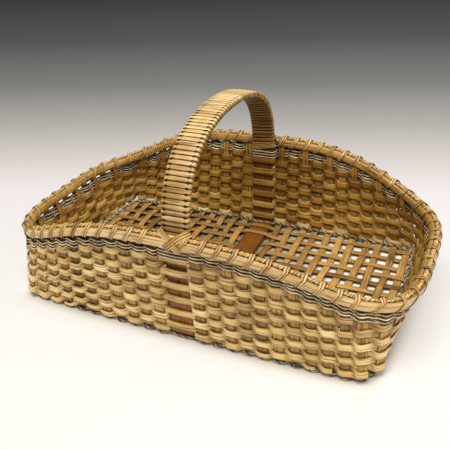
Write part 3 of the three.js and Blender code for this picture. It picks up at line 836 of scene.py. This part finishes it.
def twine_base(lead, chance):
    """Middle line of one of the two strands round the edge of the base."""
    made = []
    for p in range(PLACES):
        sign = 1 if (p + lead) % 2 == 0 else -1
        tone = chance.gauss(0, 0.12)
        x, y = FOOT[p][:2]
        away = np.array([math.copysign(1, x), 0, 0] if KIND[p] == "long" else [0, math.copysign(1, y), 0])
        ahead = np.cross([0, 0, 1], away)
        # one strand lies in the bend of the stake, the other outside it
        back, lift = (3.6, 7.0) if sign > 0 else (-0.7, 2.1)
        reach = 3.4
        beside = (KIND[p - 1], KIND[(p + 1) % PLACES])
        if KIND[p] == "leg":
            reach, back = TWINE_EDGE, 7.2 if sign > 0 else 1.0
        elif "leg" not in beside and beside != (KIND[p], KIND[p]):
            # drawn in where it turns the corner
            reach, back = 1.6, back + 4.0
        tilt = unit(away + np.array([0, 0, 1.0]))
        for e in (-reach, reach):
            at = FOOT[p] - away * back + ahead * e
            at[2] = lift
            made.append(row(at, tilt, 1.8, 1, tone))
    return made


def plies(name, path, size, looks, lay=None, closed=False):
    """The dark and the pale ply of a strand, side by side or wound in turns of length lay."""
    path = np.asarray(path, float)
    at, side = path[:, :3], unit(path[:, 3:6])
    face = unit(np.cross(unit(np.gradient(at, axis=0)), side))
    run = run_along(at)
    turns = np.zeros(len(run))
    if lay:
        whole = run[-1] + np.linalg.norm(at[0] - at[-1])
        turns = run / whole * round(whole / lay)
    made = []
    for start, look in zip((0.0, 0.5), looks):
        turn = 2 * np.pi * (turns + start)[:, None]
        ply = path.copy()
        ply[:, :3] += path[:, 6:7] * (np.cos(turn) * side + 0.8 * np.sin(turn) * face)
        ply[:, 6:8] = size / 2, size * 0.47
        made.append(strip(f"{name}_{look}", ply, ROUND, closed))
        paint(made[-1], look)
    return made


class BASKET_OT_twined_band(bpy.types.Operator):
    """Twines the dark and pale pair of strands in three turns under the rim"""

    bl_idname = "basket.twined_band"
    bl_label = "Twined band"

    def execute(self, context):
        sizes = context.scene.basket_sizes
        made = []
        for lead in (0, 1):
            path = smooth(twine_wall(lead, random.Random(500 + lead)), 4)
            made += plies(f"twined_band_{lead}", path, sizes.strand / MM, ("dark_grass", "pale_grass"))
        piece = join("twined_band", made)
        settle(piece, "twining_strand", "twined_band")
        return {"FINISHED"}


class BASKET_OT_base_twine(bpy.types.Operator):
    """Twines a pair of strands round the edge of the base"""

    bl_idname = "basket.base_twine"
    bl_label = "Base twine"

    def execute(self, context):
        sizes = context.scene.basket_sizes
        made = []
        for lead in (0, 1):
            path = smooth(twine_base(lead, random.Random(520 + lead)), 8, True)
            made += plies(f"base_twine_{lead}", path, sizes.strand / MM, ("base_dark", "base_pale"), 9.0, True)
        piece = join("base_twine", made)
        settle(piece, "twining_strand", "base_twine")
        return {"FINISHED"}


# Rim


def rim_line(steps):
    """Rim line with its along, up and out directions, many stations to a stake."""
    return smooth(np.c_[TOP, ALONG, UP, OUT], steps, True)


def rim_ring(offset, lift, width, thick, tones, chance):
    """Stations of a rim strip beside the rim line, its tone wandering slowly along it."""
    line = rim_line(6)
    upward, outward = unit(line[:, 6:9]), unit(line[:, 9:12])
    at = line[:, :3] + outward * offset + upward * lift
    wander = np.convolve([chance.gauss(0, tones) for _ in range(len(line) + 40)], np.ones(41) / 12, "valid")
    return [row(a, u, width, thick, w) for a, u, w in zip(at, upward, wander)]


class BASKET_OT_rim(bpy.types.Operator):
    """Lays the two half round rim strips and the twisted filler between them"""

    bl_idname = "basket.rim"
    bl_label = "Rim strips and filler"

    def execute(self, context):
        sizes = context.scene.basket_sizes
        high, thick = sizes.rim_height / MM, sizes.rim_thick / MM
        for name, side in (("outer_rim", 1), ("inner_rim", -1)):
            chance = random.Random(600 + side)
            path = rim_ring(side * (RIM_OFF + thick / 2), -RIM_DROP, high, thick, 0.08, chance)
            section = HALF_ROUND if side > 0 else HALF_ROUND * [1, -1]
            piece = strip(name, path, section, True)
            paint(piece, "rim")
            settle(piece, "rim_reed", name)
        made = []
        line = rim_line(8)
        upward, outward = unit(line[:, 6:9]), unit(line[:, 9:12])
        # one twist to 3.2 stations, then rounded to whole twists
        twist = np.arange(len(line)) * 2 * math.pi / 3.2
        twist *= 2 * math.pi * round(twist[-1] / 2 / math.pi) / twist[-1]
        for k in range(2):
            turn = twist + k * math.pi
            at = line[:, :3] + upward * (3.9 + 0.9 * np.sin(turn))[:, None]
            at += outward * (1.7 * np.cos(turn))[:, None]
            path = [row(a, u, 2.7, 2.7) for a, u in zip(at, upward)]
            made.append(strip(f"rim_filler_{k}", path, ROUND, True))
        piece = join("rim_filler", made)
        paint(piece, "grass")
        settle(piece, "rim_reed", "rim_filler")
        return {"FINISHED"}


def foot_cross(name, p, sizes, chance):
    """Canes crossed over the rim at a foot of the handle, and slanting ones on its inner face."""
    made = []
    sign = math.copysign(1, FOOT[p][1])
    top, wide = TOP[p], sizes.hoop_width / MM / 2
    # out and up from the rim line: from behind the edge of the grip, over the rim, to its lower edge
    fall = (-11.5, 4.8), (-6.5, 6.4), (-1.0, 7.3), (4.4, 4.8), (7.2, -0.4), (6.6, -5.0), (3.0, -8.2)
    for way, shares in (
        (-1, (1.25, 1.14, 0.80, 0.20, -0.34, -0.66, -0.80)),
        (1, (1.12, 1.10, 1.00, 0.62, 0.16, -0.20, -0.36)),
    ):
        for lane in (-1, 0, 1):
            tone = chance.gauss(0.05, sizes.variation)
            path = []
            for share, (out, up) in zip(shares, fall):
                x = -sign * way * (share * wide + 1.9 * lane)
                y = sign * (abs(top[1]) + out + 0.7 * (way > 0))
                path.append(row((x, y, top[2] + up - 1.9 * lane), (1, 0, 0.8 * sign * way), 2.7, 1.3, tone))
            made.append(strip(f"{name}_{way}_{lane}", smooth(path, 6), CANE))
    # the end of the wrap runs slanting down across the inner face: across, inward and up
    middle = (0.0, 4.9, -4.2)
    upper = [(wide + 2.6, 0.0, 0.0), (wide + 1.4, 3.4, -0.4), (wide - 2.0, 4.7, -1.3)]
    lower = [(-x, inward, 2 * middle[2] - up) for x, inward, up in upper[::-1]]
    for lane in (-1, 0, 1):
        tone = chance.gauss(0.0, sizes.variation)
        path = []
        for x, inward, up in (*upper, middle, *lower):
            z = top[2] + up - 2.4 * lane
            path.append(row((x, sign * (leg_span(z) - inward), z), (0.3, 0, 1), 2.7, 1.2, tone))
        made.append(strip(f"{name}_slant_{lane}", smooth(path, 6), CANE))
    piece = join(name, made)
    paint(piece, "cane")
    settle(piece, "binding_cane")


class BASKET_OT_lashing(bpy.types.Operator):
    """Winds the lashing round the rim and crosses it over the feet of the handle"""

    bl_idname = "basket.lashing"
    bl_label = "Rim lashing"

    def execute(self, context):
        sizes = context.scene.basket_sizes
        width, thick = sizes.lash_width / MM, sizes.rim_thick / MM
        middle, deep = RIM_OFF + thick / 2, thick / 2 + 0.45
        tall = sizes.rim_height / MM / 2 + 0.45
        chance = random.Random(700)
        steps = 40
        line = rim_line(steps)

        def station(g, side, angle, tone, lane):
            """A point of the turn: angle round the dome of one rim strip, or None over the filler."""
            here = line[int(round(g * steps)) % len(line)]
            out, up = 0.0, 6.9
            if angle is not None:
                c, n = math.cos(math.radians(angle)), math.sin(math.radians(angle))
                out = side * (middle + deep * c**0.8)
                up = -RIM_DROP + tall * math.copysign(abs(n) ** 0.8, n)
            at = here[:3] + unit(here[9:12]) * out + unit(here[6:9]) * up
            return row(at + unit(here[3:6]) * lane, here[3:6], width, 0.8, tone)

        # one turn, in stakes along the rim: from under the outer strip, over the filler, under the inner
        turn = [(g, 1, a) for g, a in ((0.30, -80), (0.36, -45), (0.50, 0), (0.64, 40), (0.71, 70))]
        turn += [(0.76, 0, None)]
        turn += [(g, -1, a) for g, a in ((0.80, 70), (0.85, 40), (0.98, 0), (1.14, -45), (1.22, -80))]
        made = []
        for lane in (-1.45, 1.45):
            path = []
            for p in range(PLACES - 1):
                tone = chance.gauss(0.02, sizes.variation)
                path += [station(p + g, side, angle, tone, lane) for g, side, angle in turn]
            made.append(strip(f"rim_lashing_{len(made)}", smooth(path, 4), CANE))
        piece = join("rim_lashing", made)
        paint(piece, "cane")
        settle(piece, "binding_cane", "rim_lashing")
        foot_cross("foot_cross_front", 0, sizes, chance)
        foot_cross("foot_cross_back", BACK_LEG, sizes, chance)
        return {"FINISHED"}


# Handle


def hoop_line():
    """Centre line of the hoop from the front foot over the crown to the back foot and along the base bar."""
    inner = HOOP_FOOT - HOOP_BEND
    leg = []
    for t in np.linspace(0, np.pi / 2, 7):
        leg.append((inner + HOOP_BEND * math.sin(t), Z_BASE + HOOP_BEND * (1 - math.cos(t))))
    for z in np.r_[np.arange(20, HOOP_SPRING - 9, 10), WRAP_FOOT]:
        leg.append((leg_span(z), z))
    line = [(0, -y, z) for y, z in leg]
    for t in np.linspace(0, np.pi, 81):
        c, s = -math.cos(t), max(math.sin(t), 0)
        y = HOOP_RIM * math.copysign(abs(c) ** (2 / HOOP_ROUND), c)
        line.append((0, y, HOOP_SPRING + (HOOP_TOP - HOOP_SPRING) * s ** (2 / HOOP_ROUND)))
    line += [(0, y, z) for y, z in leg[::-1]]
    line += [(0, y, Z_BASE) for y in np.linspace(inner - 8, -inner + 8, 16)]
    return np.array(line)


class BASKET_OT_hoop(bpy.types.Operator):
    """Bends the wooden hoop under the base, up both walls and over"""

    bl_idname = "basket.hoop"
    bl_label = "Handle hoop"

    def execute(self, context):
        sizes = context.scene.basket_sizes
        width, thick = sizes.hoop_width / MM, sizes.hoop_thick / MM
        path = []
        for at in hoop_line():
            # the front leg is paler; painted shade darkens the back leg and, deeper still, the wood under the
            # grip wrap
            tone = 0.16 if at[1] < 0 else -0.12
            tone = -0.5 if at[2] > HOOP_SPRING else tone * (at[2] > 2 * Z_BASE)
            path.append(row(at, (1, 0, 0), width, thick, tone))
        piece = strip("handle_hoop", path, PLANK, True)
        paint(piece, "wood")
        settle(piece, "hoop_wood", "handle_hoop", angle=60)
        return {"FINISHED"}


class BASKET_OT_grip_wrap(bpy.types.Operator):
    """Winds flat cane round the arch of the hoop from rim to rim"""

    bl_idname = "basket.grip_wrap"
    bl_label = "Grip wrap"

    def execute(self, context):
        sizes = context.scene.basket_sizes
        turns = sizes.wraps
        line = hoop_line()
        arch = line[line[:, 2] >= WRAP_FOOT]
        run = run_along(arch)
        wide = sizes.hoop_width / MM / 2
        deep = sizes.hoop_thick / MM / 2 + 0.6
        pitch = run[-1] / turns
        chance = random.Random(800)

        def on_arch(s):
            return np.array([0.0, np.interp(s, run, arch[:, 1]), np.interp(s, run, arch[:, 2])])

        # one turn: across the outer face, round the edge, back across the inner face;
        # share of the turn, across and off the hoop, and share of the cane's width
        turn = (
            (0.00, -wide + 2.6, deep, 0.6),
            (0.04, -wide + 5.0, deep + 0.2, 1.0),
            (0.14, 0.0, deep + 0.35, 1.0),
            (0.24, wide - 5.0, deep + 0.2, 1.0),
            (0.28, wide - 2.6, deep, 0.6),
            (0.32, wide + 0.1, 0.9 * deep, 0.95),
            (0.37, wide + 1.1, 0.0, 0.95),
            (0.43, wide - 0.2, -0.9 * deep, 0.9),
            (0.58, 0.4 * wide, -deep - 0.2, 0.84),
            (0.75, -0.4 * wide, -deep - 0.2, 0.84),
            (0.87, -wide + 0.2, -0.9 * deep, 0.9),
            (0.92, -wide - 1.1, 0.0, 0.95),
            (0.96, -wide - 0.1, 0.9 * deep, 0.95),
        )
        path = []
        for k in range(turns):
            tone = chance.gauss(0.0, sizes.variation * 0.8)
            size = pitch * chance.uniform(0.86, 0.97)
            for share, x, off, narrow in turn:
                # the turn goes straight over the outer face and slants on the inner one
                ahead = 0.12 * share if share < 0.3 else 0.036 + (share - 0.3) / 0.7 * 0.964
                s = (k + ahead) * pitch
                along = unit(on_arch(s + 1) - on_arch(s - 1))
                at = on_arch(s) + [x, 0, 0] + np.cross([1, 0, 0], along) * off
                # painted light: paler over the crown, which faces the light from above; on the inner face a
                # little paler low down and darker toward the crown, as painted shade
                z = on_arch(s)[2]
                if off > 0:
                    shade = 0.36 * np.clip((z - 175) / 40, 0, 1)
                else:
                    shade = 0.12 - 0.4 * np.clip((z - 145) / 40, 0, 1)
                path.append(row(at, along, size * narrow, 1.3, tone + shade))
        piece = strip("handle_wrap", smooth(path, 3), CANE)
        paint(piece, "grip")
        settle(piece, "binding_cane", "handle_wrap")
        return {"FINISHED"}


# Stage

# the camera that took the photo, as fitted to it: metres, millimetres and degrees
CAMERA_TARGET, CAMERA_FAR, CAMERA_LENS = (-0.00816, 0.00836, 0.0599), 0.7418, 49.43
CAMERA_AZ, CAMERA_EL, CAMERA_ROLL = 25.71, 29.105, -2.658


def paper_sweep():
    """Paper painted from white to grey far behind the basket, as painted light falloff."""
    material, tree = blank("pale_paper_sweep")
    place = add(tree, "ShaderNodeTexCoord").outputs["Object"]
    inputs = {"Vector": place, "Angle": math.radians(-19.0)}
    turned = add(tree, "ShaderNodeVectorRotate", inputs, rotation_type="Z_AXIS")
    split = add(tree, "ShaderNodeSeparateXYZ", {"Vector": turned.outputs["Vector"]})
    # painted light falloff: the paper is white near the basket and grey far behind it
    colour = ramp(
        tree,
        between(tree, split.outputs["Y"], 0.0, 2.0),
        (0.0, "#f7f3ed"),
        (0.109, "#f4edea"),
        (0.188, "#dad2cc"),
        (0.264, "#bbb7b1"),
        (0.395, "#8c8b87"),
        (0.634, "#626260"),
        (1.0, "#4a4a47"),
    )
    glow = add(tree, "ShaderNodeEmission", {"Color": colour, "Strength": 0.865})
    seen = add(tree, "ShaderNodeLightPath").outputs["Is Camera Ray"]
    # the paper under the basket keeps the whole of its shade and is painted darker as painted shadow, deeper
    # to the left
    plan = add(tree, "ShaderNodeSeparateXYZ", {"Vector": place})
    across = between(tree, plan.outputs["X"], -0.12, 0.16)
    below = ramp(tree, across, (0.0, "#5e5443"), (0.45, "#968b78"), (1.0, "#e2e0da"))
    # distance from the middle in a rounded oblong that is 1 at the edge of the base
    long_way, short_way = (
        calc(tree, "DIVIDE", calc(tree, "ABSOLUTE", plan.outputs[axis]), half * MM)
        for axis, half in (("X", BASE_X), ("Y", BASE_Y))
    )
    oblong = calc(tree, "ADD", calc(tree, "POWER", long_way, 16), calc(tree, "POWER", short_way, 8))
    beyond = calc(tree, "POWER", oblong, 1 / 8)
    clear = between(tree, beyond, 0.97, 1.25, 0.0, 0.7, "SMOOTHSTEP")
    hidden = calc(tree, "LESS_THAN", beyond, 1.0)
    # a soft shade where the long sides meet the paper, none past the ends
    close = between(tree, beyond, 1.0, 1.25)
    touch = ramp(tree, close, (0.0, "#a69d8f"), (0.18, "#c2bcb3"), (0.4, "#d8d5d0"), (1.0, "#ffffff"))
    amount = calc(tree, "MULTIPLY", seen, between(tree, long_way, 1.15, 1.0))
    lit = mix(tree, "MULTIPLY", amount, colour, touch)
    paper = add(tree, "ShaderNodeBsdfDiffuse", {"Color": mix(tree, "MIX", hidden, lit, below)})
    # the eye sees the paper evenly lit away from the basket
    share = calc(tree, "MULTIPLY", seen, clear)
    both = add(tree, "ShaderNodeMixShader", {0: share, 1: paper.outputs[0], 2: glow.outputs[0]})
    add(tree, "ShaderNodeOutputMaterial", {"Surface": both.outputs[0]})
    return material


class BASKET_OT_stage(bpy.types.Operator):
    """Sets the pale floor, the soft lights and the camera"""

    bl_idname = "basket.stage"
    bl_label = "Stage"

    def execute(self, context):
        bpy.ops.object.select_all(action="DESELECT")
        bpy.ops.mesh.primitive_plane_add(size=12, location=(0, 0, -0.0004))
        floor = context.object
        floor.name = "floor"
        floor.data.materials.append(paper_sweep())
        aim = Vector((0, 0, 0.05))
        for name, spot, size, power in (
            ("key", (0.02, -0.5, 1.45), 0.9, 33.2),
            ("right", (1.0, 0.1, 0.8), 0.6, 6.5),
        ):
            data = bpy.data.lights.new(name, "AREA")
            data.shape = "SQUARE"
            data.size = size
            data.energy = power
            lamp = bpy.data.objects.new(name, data)
            context.scene.collection.objects.link(lamp)
            lamp.location = spot
            lamp.rotation_mode = "QUATERNION"
            lamp.rotation_quaternion = (aim - Vector(spot)).to_track_quat("-Z", "Y")
        world = bpy.data.worlds.new("soft_room")
        context.scene.world = world
        world.use_nodes = True
        tree = world.node_tree
        back = tree.nodes["Background"]
        back.inputs["Color"].default_value = (1, 1, 1, 1)
        back.inputs["Strength"].default_value = 0.16
        # the room is pale to the eye, so the floor ends in no hard line
        wall = add(tree, "ShaderNodeBackground", {"Color": linear("#ece9e4"), "Strength": 0.9})
        ray = add(tree, "ShaderNodeLightPath").outputs["Is Camera Ray"]
        shown = add(tree, "ShaderNodeMixShader", {0: ray, 1: back.outputs[0], 2: wall.outputs[0]})
        tree.links.new(shown.outputs[0], tree.nodes["World Output"].inputs["Surface"])
        data = bpy.data.cameras.new("camera")
        data.lens = CAMERA_LENS
        data.sensor_width = 36.0
        data.dof.use_dof = False
        data.clip_start, data.clip_end = 0.01, 50
        camera = bpy.data.objects.new("camera", data)
        context.scene.collection.objects.link(camera)
        az, el = math.radians(CAMERA_AZ), math.radians(CAMERA_EL)
        away = Vector((math.sin(az) * math.cos(el), -math.cos(az) * math.cos(el), math.sin(el)))
        camera.location = Vector(CAMERA_TARGET) + away * CAMERA_FAR
        camera.rotation_mode = "QUATERNION"
        roll = Quaternion((0, 0, 1), math.radians(CAMERA_ROLL))
        camera.rotation_quaternion = (-away).to_track_quat("-Z", "Y") @ roll
        context.scene.camera = camera
        context.scene.view_settings.view_transform = "Standard"
        return {"FINISHED"}


STEPS = (
    BASKET_OT_cross_stakes,
    BASKET_OT_long_stakes,
    BASKET_OT_full_rows,
    BASKET_OT_short_rows,
    BASKET_OT_twined_band,
    BASKET_OT_base_twine,
    BASKET_OT_rim,
    BASKET_OT_lashing,
    BASKET_OT_hoop,
    BASKET_OT_grip_wrap,
    BASKET_OT_stage,
)


class BASKET_PT_panel(bpy.types.Panel):
    """Lists the sizes, the colours and the steps of the basket in the sidebar"""

    bl_idname = "BASKET_PT_panel"
    bl_label = "Herb drying basket"
    bl_space_type = "VIEW_3D"
    bl_region_type = "UI"
    bl_category = "Basket"

    def draw(self, context):
        for group in (context.scene.basket_sizes, context.scene.basket_colours):
            for key in type(group).__annotations__:
                self.layout.prop(group, key)
        for step in STEPS:
            self.layout.operator(step.bl_idname)


def register():
    bpy.utils.register_class(BasketSizes)
    bpy.utils.register_class(BasketColours)
    for step in STEPS:
        bpy.utils.register_class(step)
    bpy.utils.register_class(BASKET_PT_panel)
    bpy.types.Scene.basket_sizes = bpy.props.PointerProperty(type=BasketSizes)
    bpy.types.Scene.basket_colours = bpy.props.PointerProperty(type=BasketColours)


def unregister():
    LOOKS.clear()
    del bpy.types.Scene.basket_colours
    del bpy.types.Scene.basket_sizes
    bpy.utils.unregister_class(BASKET_PT_panel)
    for step in reversed(STEPS):
        bpy.utils.unregister_class(step)
    bpy.utils.unregister_class(BasketColours)
    bpy.utils.unregister_class(BasketSizes)


def main():
    register()
    bpy.ops.basket.cross_stakes()
    bpy.ops.basket.long_stakes()
    bpy.ops.basket.full_rows()
    bpy.ops.basket.short_rows()
    bpy.ops.basket.twined_band()
    bpy.ops.basket.base_twine()
    bpy.ops.basket.rim()
    bpy.ops.basket.lashing()
    bpy.ops.basket.hoop()
    bpy.ops.basket.grip_wrap()
    bpy.ops.basket.stage()


if __name__ == "__main__":
    main()
